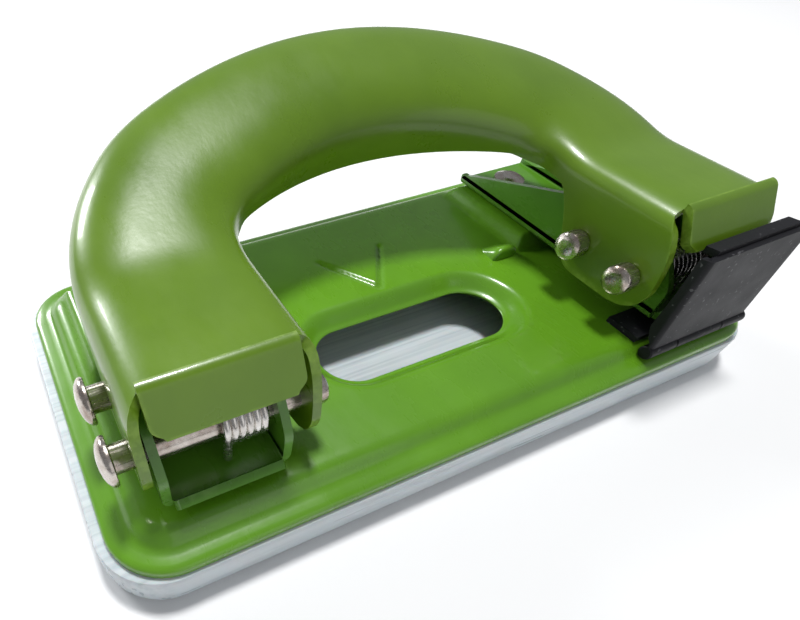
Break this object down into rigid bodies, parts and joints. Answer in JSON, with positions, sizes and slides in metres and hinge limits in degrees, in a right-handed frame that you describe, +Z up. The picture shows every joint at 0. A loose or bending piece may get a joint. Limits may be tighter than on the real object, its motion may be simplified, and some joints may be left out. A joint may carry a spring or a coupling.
{
  "type": "hole punch",
  "caption": "Small desk punch for two holes: painted steel base and brackets, sprung loop handle that drives the punches, pale plastic chip tray and a black flap at the front of one unit.",
  "frame": {"origin": "centre of the chip tray's underside, on the desk", "axes": "+X along the base to the side with the flap, +Y to the back where the loop overhangs, +Z up"},
  "size_m": [0.1156, 0.0655, 0.0396],
  "materials": {
    "handle_paint": "gloss",
    "base_paint": "gloss",
    "steel": "plated",
    "spring_steel": "drawn",
    "black_plastic": "satin",
    "tray_plastic": "satin"
  },
  "bodies": {
    "base": {"base_plate": "base_paint", "die_ring_left": "steel", "die_ring_right": "steel", "bracket_left": "base_paint", "bracket_right": "base_paint", "bracket_rivets": "steel", "guide_bush_left": "steel", "guide_bush_right": "steel", "hinge_pin_left": "steel", "hinge_pin_right": "steel", "return_spring_left": "spring_steel", "return_spring_right": "spring_steel", "flap_foot": "black_plastic", "flap_pin": "steel"},
    "handle": {"handle": "handle_paint", "drive_pin_left": "steel", "drive_pin_right": "steel"},
    "punch_left": {"punch_left": "steel"},
    "punch_right": {"punch_right": "steel"},
    "tray": {"chip_tray": "tray_plastic"},
    "flap": {"lock_flap": "black_plastic"}
  },
  "joints": [
    {"name": "handle_hinge", "type": "hinge", "parent": "base", "child": "handle", "pos_m": [0, -0.0176, 0.0182], "axis": [-1, 0, 0], "range_deg": [0, 17], "stiffness_Nm_per_rad": 0.25, "springref_deg": -28.65, "deforming": ["return_spring_left", "return_spring_right"]},
    {"name": "punch_left_slide", "type": "slide", "parent": "base", "child": "punch_left", "axis": [0, 0, -1], "range_m": [0, 0.00275]},
    {"name": "punch_right_slide", "type": "slide", "parent": "base", "child": "punch_right", "axis": [0, 0, -1], "range_m": [0, 0.00275]},
    {"name": "tray_snap", "type": "slide", "parent": "base", "child": "tray", "axis": [0, 0, -1], "range_m": [0, 0.015]},
    {"name": "flap_hinge", "type": "hinge", "parent": "base", "child": "flap", "pos_m": [0.04, -0.0265, 0.0096], "axis": [1, 0, 0], "range_deg": [0, 95]}
  ],
  "couplings": [
    {"joint": "punch_left_slide", "follows": "handle_hinge", "m_per_rad": 0.009262},
    {"joint": "punch_right_slide", "follows": "handle_hinge", "m_per_rad": 0.009262}
  ]
}
